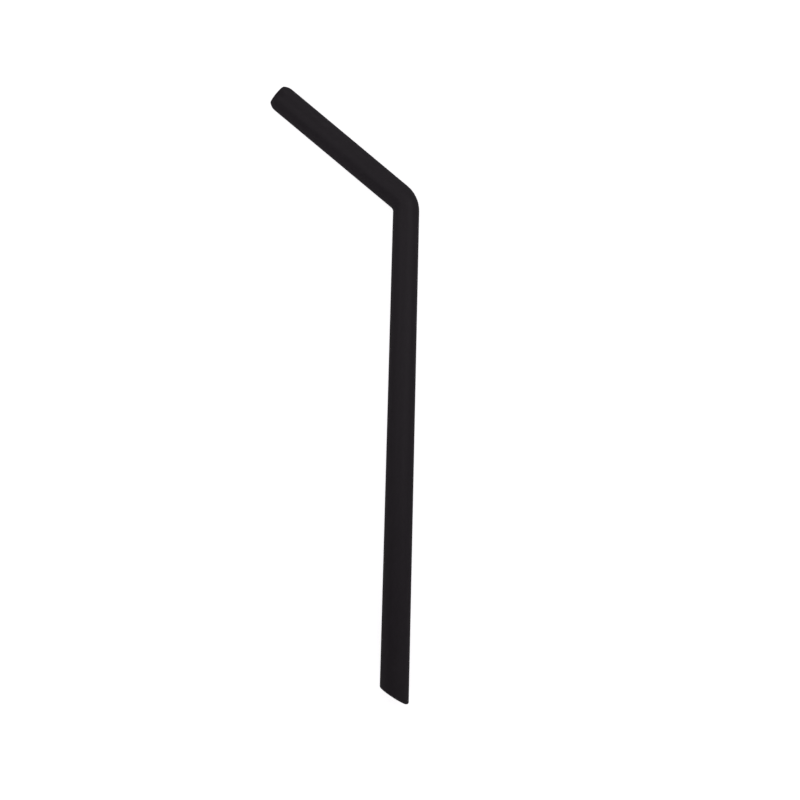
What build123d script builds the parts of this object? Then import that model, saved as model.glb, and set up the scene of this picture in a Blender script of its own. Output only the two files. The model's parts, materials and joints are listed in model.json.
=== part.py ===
from build123d import *
import os
from math import asin, atan2, cos, degrees, radians, sin, sqrt, tan

# A bent drinking straw, moulded in silicone as one hollow piece: a short arm with a
# rounded mouth, a tight bend, and a long stem that widens down to an oblique tip.
# It is drawn in the plane of its bend, with the origin where the arm's axis crosses the
# stem's and the stem pointing down -Y, and is then laid on the floor as it comes to rest.

# Lengths from the crossing of the two axes, in millimetres
ARM_LENGTH = 62.8
STEM_LENGTH = 187.6

# Bend, in degrees and millimetres, with the radius taken on its inside, half way round
TURN = 51.6
INSIDE_BEND_RADIUS = 2.1

# Tube: the arm is straight, the bend narrows to the neck and the stem widens to the tip
ARM_DIAMETER = 10.1
NECK_DIAMETER = 9.8
TIP_DIAMETER = 11.0
WALL = 1.55

# Mouth: the skin curves in over the wall and turns into the bore with a small radius
LIP_SWEEP_RADIUS = 4.7
LIP_EDGE_RADIUS = 0.25

# Tip: cut askew, with the long point on the outside of the bend and both edges rounded
CUT_ANGLE = 31.5
TIP_EDGE_RADIUS = 0.8
TIP_BORE_RADIUS = 0.3

# The most of the wall that rounded edges may use up
ROUNDED_SHARE = 0.95

arm_radius = ARM_DIAMETER / 2
neck_radius = NECK_DIAMETER / 2
tip_radius = TIP_DIAMETER / 2
bend_radius = INSIDE_BEND_RADIUS + (arm_radius + neck_radius) / 2
bend_setback = bend_radius * tan(radians(TURN / 2))

# The arm's plane has its X across the tube and its Y along the arm
arm_plane = Plane(
    origin=(0, 0, 0),
    x_dir=(cos(radians(TURN)), sin(radians(TURN)), 0),
    z_dir=(0, 0, 1),
)
arm_axis = Axis(arm_plane.origin, arm_plane.y_dir)

# Lip: two arcs, each tangent to the other and to the wall's own side
lip_edge = min(LIP_EDGE_RADIUS, ROUNDED_SHARE * WALL / 2)
bore_radius = arm_radius - WALL
across = LIP_SWEEP_RADIUS + lip_edge - WALL
along = sqrt((LIP_SWEEP_RADIUS - lip_edge) ** 2 - across**2)
sweep_angle = degrees(atan2(along, across))
bore_end = ARM_LENGTH - lip_edge
skin_end = bore_end - along

# Tip: both rounded edges have to fit in the wall where the cut is most oblique
sharp_half = radians(90 - CUT_ANGLE) / 2
blunt_half = radians(90 + CUT_ANGLE) / 2
wall_on_cut = WALL / cos(radians(CUT_ANGLE))
room_needed = TIP_EDGE_RADIUS / tan(sharp_half) + TIP_BORE_RADIUS / tan(blunt_half)
rounding = min(1, ROUNDED_SHARE * wall_on_cut / room_needed)
cut_plane = Plane(
    origin=(tip_radius, -STEM_LENGTH, 0),
    x_dir=(0, 0, 1),
    z_dir=(-sin(radians(CUT_ANGLE)), -cos(radians(CUT_ANGLE)), 0),
)

# The bend's centre line, from the neck to the arm
with BuildLine() as bend:
    route = JernArc((0, -bend_setback), (0, 1), bend_radius, TURN)

with BuildPart() as tube:
    # Arm: its wall's section, turned about the arm's axis
    with BuildSketch(arm_plane):
        with BuildLine():
            skin = Line((arm_radius, bend_setback), (arm_radius, skin_end))
            lip = JernArc(skin @ 1, skin % 1, LIP_SWEEP_RADIUS, sweep_angle)
            JernArc(lip @ 1, lip % 1, lip_edge, 180 - sweep_angle)
            Polyline(
                (bore_radius, bore_end),
                (bore_radius, bend_setback),
                (arm_radius, bend_setback),
            )
        make_face()
    revolve(axis=arm_axis)

    # Stem: a wall of one thickness that widens from the neck to the tip
    with BuildSketch(Plane.XY):
        with BuildLine():
            Polyline(
                (neck_radius, -bend_setback),
                (tip_radius, -STEM_LENGTH),
                (tip_radius - WALL, -STEM_LENGTH),
                (neck_radius - WALL, -bend_setback),
                close=True,
            )
        make_face()
    revolve(axis=Axis.Y)

    # Bend: a round section that grows from the neck to the arm, and its bore
    for inset, mode in ((0, Mode.ADD), (WALL, Mode.SUBTRACT)):
        for place, radius in ((0, neck_radius), (1, arm_radius)):
            section = Plane(route @ place, x_dir=(0, 0, 1), z_dir=route % place)
            with BuildSketch(section):
                Circle(radius - inset)
        sweep(path=route, multisection=True, mode=mode)

    # Tip: cut askew, then both of its edges rounded
    split(bisect_by=cut_plane, keep=Keep.BOTTOM)
    cut_face = tube.faces().filter_by(GeomType.PLANE)[0]
    fillet(cut_face.outer_wire().edges(), radius=TIP_EDGE_RADIUS * rounding)
    cut_face = tube.faces().filter_by(GeomType.PLANE)[0]
    fillet(cut_face.inner_wires()[0].edges(), radius=TIP_BORE_RADIUS * rounding)

# Laid down, the straw rests on its arm and on its wider tip, so it rolls a little about
# the arm's axis. The floor is at zero height under the middle of its outline.
tip_reach = (STEM_LENGTH - tip_radius * tan(radians(CUT_ANGLE))) * sin(radians(TURN))
roll = degrees(asin((tip_radius - arm_radius) / tip_reach))
rolled = tube.part.rotate(arm_axis, roll)
outline = rolled.bounding_box()

with BuildPart() as straw:
    with Locations((-outline.center().X, -outline.center().Y, -outline.min.Z)):
        add(rolled)

straw.part.label = "straw"
os.makedirs("parts", exist_ok=True)
export_step(straw.part, "parts/straw.step")
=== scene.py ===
import json
import math

import bpy
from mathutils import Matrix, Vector
from mathutils.geometry import intersect_line_line

# A bent silicone straw lying on a pale studio floor, seen from straight above.
# Lengths are in metres, angles in degrees and powers in watts, unless a comment says otherwise.

# Camera: straight above, to the right of the middle of the straw's outline. The sensor's width
# is in millimetres, and the focal length in pixels of a square image with the given side.
CAMERA_PLACE = (0.0225, -0.00123, 0.70505)
CAMERA_TURN = 1.41
SENSOR_WIDTH = 36.0
IMAGE_SIDE = 800
FOCAL_PIXELS = 1876.7

# Studio: white paper that runs far out and curves up into a wall, and a card just below it
FLAT_RINGS = (0.1, 0.5, 3.0)
COVE_RADIUS = 1.5
COVE_STEPS = 12
WALL_HEIGHT = 4.0
STUDIO_SEGMENTS = 96
PAPER_WHITE = 0.8
PAPER_GLOW = 0.84
CARD_WHITE = 0.6
CARD_DROP = 0.00005

# Light: one soft box above the straw's upper half, one on its left and three far out
NEAR_BOXES = {
    "top_box": {
        "power": 0.28,
        "place": (0.03, 0.10, 0.32),
        "aim": (0.03, 0.10, 0),
        "size": (0.62, 0.30),
    },
    "left_box": {
        "power": 0.08,
        "place": (-0.25, 0.12, 0.25),
        "aim": (0, 0.08, 0),
        "size": (0.25, 0.25),
    },
}
FAR_BOXES = {
    "south_box": {"power": 1.0, "azimuth": 270, "elevation": 25},
    "east_box": {"power": 0.62, "azimuth": 20, "elevation": 40},
    "north_box": {"power": 0.48, "azimuth": 75, "elevation": 27},
}
FAR_BOX_DISTANCE = 0.9
FAR_BOX_SIZE = (0.5, 0.5)
LIGHT_TINT = (1.0, 0.94, 1.0)

# Sky: dark below, then at its full strength up to the first height of the fade, and at a
# share of it past the second. Heights run from 0 at the horizon to 1 straight up.
SKY_STRENGTH = 0.315
SKY_EDGE = 0.002
SKY_FADE = (0.30, 0.45)
SKY_ABOVE = 0.16

# Silicone: near black and satin
SILICONE_DARK = (0.0178, 0.0148, 0.0178)
SILICONE_LIGHT = (0.0218, 0.0182, 0.0218)
SILICONE_IOR = 1.41
ROUGHNESS = 0.5

# Its unevenness: lumps of four sizes, marks along each leg and the mould's parting line
CLOUDS = {"size": 0.018, "detail": 3}
WAVES = {"size": 0.009, "detail": 1}
PEEL = {"size": 0.0024, "detail": 4, "roughness": 0.6}
GRAIN = {"size": 0.00028, "detail": 3, "roughness": 0.65}
MARK_WIDTH = 0.0011
MARK_LENGTH = 0.07
MARK_DETAIL = 3
PARTING_WIDTH = 0.00016

# What each of them, and the bore, adds to the tone, the roughness and the height. The tone is
# dark at minus its limit and light at plus its limit.
TONE_WEIGHTS = {"clouds": 0.13, "peel": 0.15, "marks": 0.16}
TONE_LIMIT = 0.35
ROUGHNESS_WEIGHTS = {"peel": 0.035, "clouds": 0.03, "marks": -0.016, "bore": -0.06}
HEIGHTS = {"waves": 27e-6, "peel": 4e-6, "marks": 2e-6, "grain": 8e-6, "parting": 30e-6}

# Half widths of the change from the stem to the arm, and from the bore to the outside
LEG_BLEND = 0.004
SKIN_BLEND = 0.0005


def link(obj):
    bpy.context.scene.collection.objects.link(obj)
    return obj


def lathe(name, profile, segments):
    """A surface turned about the Z axis from a profile of (radius, height) points."""
    points = [(0, 0, 0)]
    for radius, height in profile:
        for i in range(segments):
            a = math.radians(360 * i / segments)
            points.append((radius * math.cos(a), radius * math.sin(a), height))
    faces = [(0, 1 + i, 1 + (i + 1) % segments) for i in range(segments)]
    for ring in range(len(profile) - 1):
        first = 1 + ring * segments
        for i in range(segments):
            here = first + i
            after = first + (i + 1) % segments
            faces.append((here, here + segments, after + segments, after))
    mesh = bpy.data.meshes.new(name)
    mesh.from_pydata(points, [], faces)
    mesh.shade_smooth()
    return link(bpy.data.objects.new(name, mesh))


def matte(name, white, glow=0.0):
    """A dull white, which may also glow."""
    material = bpy.data.materials.new(name)
    material.use_nodes = True
    shader = material.node_tree.nodes["Principled BSDF"]
    shader.inputs["Base Color"].default_value = (white, white, white, 1)
    shader.inputs["Roughness"].default_value = 1.0
    shader.inputs["Specular IOR Level"].default_value = 0.0
    shader.inputs["Emission Color"].default_value = (1, 1, 1, 1)
    shader.inputs["Emission Strength"].default_value = glow
    return material


def studio():
    """The paper that only the camera sees, and a card that sends light back up in its place."""
    flat = [(radius, 0) for radius in FLAT_RINGS]
    cove = []
    for i in range(1, COVE_STEPS + 1):
        a = math.radians(90 * i / COVE_STEPS)
        radius = FLAT_RINGS[-1] + COVE_RADIUS * math.sin(a)
        cove.append((radius, COVE_RADIUS * (1 - math.cos(a))))
    wall = [(FLAT_RINGS[-1] + COVE_RADIUS, WALL_HEIGHT)]

    paper = lathe("studio_paper", flat + cove + wall, STUDIO_SEGMENTS)
    paper.data.materials.append(matte("studio_paper", PAPER_WHITE, PAPER_GLOW))
    paper.visible_diffuse = False
    paper.visible_glossy = False
    paper.visible_shadow = False

    card = lathe("studio_card", flat, STUDIO_SEGMENTS)
    card.data.materials.append(matte("studio_card", CARD_WHITE))
    card.location.z = -CARD_DROP
    card.visible_camera = False


def soft_box(name, power, place, aim, size):
    """A rectangular light at its place, turned towards its aim."""
    lamp = bpy.data.lights.new(name, "AREA")
    lamp.shape = "RECTANGLE"
    lamp.size, lamp.size_y = size
    lamp.energy = power
    lamp.color = LIGHT_TINT
    box = link(bpy.data.objects.new(name, lamp))
    box.location = place
    box.rotation_euler = (Vector(aim) - Vector(place)).to_track_quat("-Z", "Y").to_euler()
    box.visible_camera = False


def far_box(name, power, azimuth, elevation):
    """A soft box far out, aimed at the middle. Azimuth 0 is +X and 90 is +Y."""
    a, e = math.radians(azimuth), math.radians(elevation)
    direction = Vector((math.cos(e) * math.cos(a), math.cos(e) * math.sin(a), math.sin(e)))
    soft_box(name, power, direction * FAR_BOX_DISTANCE, (0, 0, 0), FAR_BOX_SIZE)


def sky():
    """A band of pale light above the horizon, weaker overhead and dark below."""
    world = bpy.data.worlds.new("studio_sky")
    bpy.context.scene.world = world
    world.use_nodes = True
    nodes, links = world.node_tree.nodes, world.node_tree.links
    direction = nodes.new("ShaderNodeTexCoord")
    split = nodes.new("ShaderNodeSeparateXYZ")
    band = nodes.new("ShaderNodeValToRGB")
    links.new(direction.outputs["Generated"], split.inputs[0])
    links.new(split.outputs["Z"], band.inputs["Fac"])
    links.new(band.outputs["Color"], nodes["Background"].inputs["Color"])
    nodes["Background"].inputs["Strength"].default_value = SKY_STRENGTH
    ramp = band.color_ramp.elements
    ramp[0].position = 0.0
    ramp[0].color = (0, 0, 0, 1)
    ramp[1].position = SKY_EDGE
    ramp[1].color = (*LIGHT_TINT, 1)
    ramp.new(SKY_FADE[0]).color = (*LIGHT_TINT, 1)
    ramp.new(SKY_FADE[1]).color = (*(SKY_ABOVE * c for c in LIGHT_TINT), 1)


def camera():
    """The camera looks straight down, turned a little about the vertical."""
    lens = bpy.data.cameras.new("camera")
    lens.sensor_width = SENSOR_WIDTH
    lens.lens = FOCAL_PIXELS / IMAGE_SIDE * SENSOR_WIDTH
    eye = link(bpy.data.objects.new("camera", lens))
    eye.location = CAMERA_PLACE
    eye.rotation_euler = (0, 0, math.radians(CAMERA_TURN))
    bpy.context.scene.camera = eye


def add(tree, kind, output, inputs=None, **settings):
    """A node's output, with its inputs given as values or as other nodes' outputs."""
    node = tree.nodes.new(kind)
    for name, value in settings.items():
        setattr(node, name, value)
    for name, value in (inputs or {}).items():
        if isinstance(value, bpy.types.NodeSocket):
            tree.links.new(value, node.inputs[name])
        else:
            node.inputs[name].default_value = value
    return node.outputs[output]


def maths(tree, operation, *values):
    return add(tree, "ShaderNodeMath", 0, dict(enumerate(values)), operation=operation)


def total(tree, start, traits, weights):
    """The start value plus each weighted trait."""
    for name, weight in weights.items():
        start = maths(tree, "MULTIPLY_ADD", traits[name], weight, start)
    return start


def dot(tree, a, b):
    return add(tree, "ShaderNodeVectorMath", "Value", {0: a, 1: b}, operation="DOT_PRODUCT")


def ease(tree, value, start, end):
    """Smooth from 0 at the start value to 1 at the end value, and level beyond them."""
    inputs = {"Value": value, "From Min": start, "From Max": end}
    return add(tree, "ShaderNodeMapRange", "Result", inputs, interpolation_type="SMOOTHSTEP")


def mix(tree, share, a, b):
    return add(tree, "ShaderNodeMix", "Result", {"Factor": share, "A": a, "B": b})


def noise(tree, place, size, detail, roughness=0.5):
    """Cloudy noise about zero, with lumps of this size."""
    inputs = {"Vector": place, "Scale": 1 / size, "Detail": detail, "Roughness": roughness}
    return add(tree, "ShaderNodeTexNoise", "Fac", inputs, normalize=False)


def streaks(tree, place, turn):
    """Fine noise drawn out along Y, after turning the place about Z."""
    inputs = {"Vector": place, "Rotation": (0, 0, turn)}
    turned = add(tree, "ShaderNodeMapping", 0, inputs)
    inputs = {"Vector": turned, "Scale": (1 / MARK_WIDTH, 1 / MARK_LENGTH, 1 / MARK_WIDTH)}
    drawn = add(tree, "ShaderNodeMapping", 0, inputs)
    return noise(tree, drawn, 1.0, MARK_DETAIL)


def regions(tree, place, crossing, arm, stem):
    """Outputs that are 1 on the arm, on the outside and on the parting line, and 0 off them."""
    facing = add(tree, "ShaderNodeTexCoord", "Normal")
    inputs = {0: place, 1: crossing}
    reach = add(tree, "ShaderNodeVectorMath", 0, inputs, operation="SUBTRACT")
    on_arm = ease(tree, dot(tree, reach, (arm + stem).normalized()), -LEG_BLEND, LEG_BLEND)

    # The outside faces away from the axis of its leg, and the bore faces the axis
    outward = []
    for axis in (stem, arm):
        lengthwise = maths(tree, "MULTIPLY", dot(tree, facing, axis), dot(tree, reach, axis))
        outward.append(maths(tree, "SUBTRACT", dot(tree, facing, reach), lengthwise))
    outside = ease(tree, mix(tree, on_arm, *outward), -SKIN_BLEND, SKIN_BLEND)

    # The mould parts in the plane of the bend, and its line is on the outside alone
    off_plane = maths(tree, "ABSOLUTE", dot(tree, reach, arm.cross(stem).normalized()))
    parting = maths(tree, "MULTIPLY", ease(tree, off_plane, PARTING_WIDTH / 2, 0.0), outside)
    return on_arm, outside, parting


def silicone(crossing, arm, stem):
    """Silicone for a tube whose arm and stem run along these axes from their crossing."""
    material = bpy.data.materials.new("silicone_black")
    material.use_nodes = True
    tree = material.node_tree
    shader = tree.nodes["Principled BSDF"]
    shader.inputs["IOR"].default_value = SILICONE_IOR

    place = add(tree, "ShaderNodeTexCoord", "Object")
    on_arm, outside, parting = regions(tree, place, crossing, arm, stem)
    stem_marks = streaks(tree, place, 0)
    arm_marks = streaks(tree, place, -arm.angle(stem))
    traits = {
        "clouds": noise(tree, place, **CLOUDS),
        "waves": noise(tree, place, **WAVES),
        "peel": noise(tree, place, **PEEL),
        "grain": maths(tree, "MULTIPLY", noise(tree, place, **GRAIN), outside),
        "marks": mix(tree, on_arm, stem_marks, arm_marks),
        "bore": maths(tree, "SUBTRACT", 1.0, outside),
        "parting": parting,
    }

    # Colour: two near blacks, mixed by the tone
    tone = ease(tree, total(tree, 0.0, traits, TONE_WEIGHTS), -TONE_LIMIT, TONE_LIMIT)
    colours = {"Factor": tone, "A": (*SILICONE_DARK, 1), "B": (*SILICONE_LIGHT, 1)}
    colour = add(tree, "ShaderNodeMix", "Result", colours, data_type="RGBA")
    tree.links.new(colour, shader.inputs["Base Color"])

    # Gloss: uneven all over, and a little smoother in the bore
    roughness = total(tree, ROUGHNESS, traits, ROUGHNESS_WEIGHTS)
    tree.links.new(roughness, shader.inputs["Roughness"])

    # Relief: in metres, so the bump's own distance and strength are 1
    relief = {"Height": total(tree, 0.0, traits, HEIGHTS), "Distance": 1.0, "Strength": 1.0}
    tree.links.new(add(tree, "ShaderNodeBump", "Normal", relief), shader.inputs["Normal"])
    return material


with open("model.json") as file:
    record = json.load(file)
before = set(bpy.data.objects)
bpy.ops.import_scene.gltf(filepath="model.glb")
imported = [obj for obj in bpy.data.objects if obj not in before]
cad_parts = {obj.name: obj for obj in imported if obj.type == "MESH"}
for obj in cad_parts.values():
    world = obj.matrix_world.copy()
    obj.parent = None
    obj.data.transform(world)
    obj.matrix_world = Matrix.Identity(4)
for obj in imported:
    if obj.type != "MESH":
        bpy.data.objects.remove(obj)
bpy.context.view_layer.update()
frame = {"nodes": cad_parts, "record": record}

studio()
sky()
for name, box in NEAR_BOXES.items():
    soft_box(name, **box)
for name, box in FAR_BOXES.items():
    far_box(name, **box)
camera()
bpy.context.scene.view_settings.view_transform = "Standard"

# The arm's axis is its bore's, and the stem's runs through the middles of its two openings
record = frame["record"]
bore = next(mount for mount in record["mounts"] if mount["name"] == "mouth_bore")
mouth, arm = Vector(bore["pos_m"]), Vector(bore["axis"])
openings = (opening["box_m"] for opening in record["physics"]["openings"])
upper, lower = ((Vector(low) + Vector(high)) / 2 for low, high in openings)
crossing = intersect_line_line(mouth, mouth - arm, upper, lower)[0]

straw = frame["nodes"]["straw"]
straw.data.materials[0] = silicone(crossing, arm, (upper - lower).normalized())
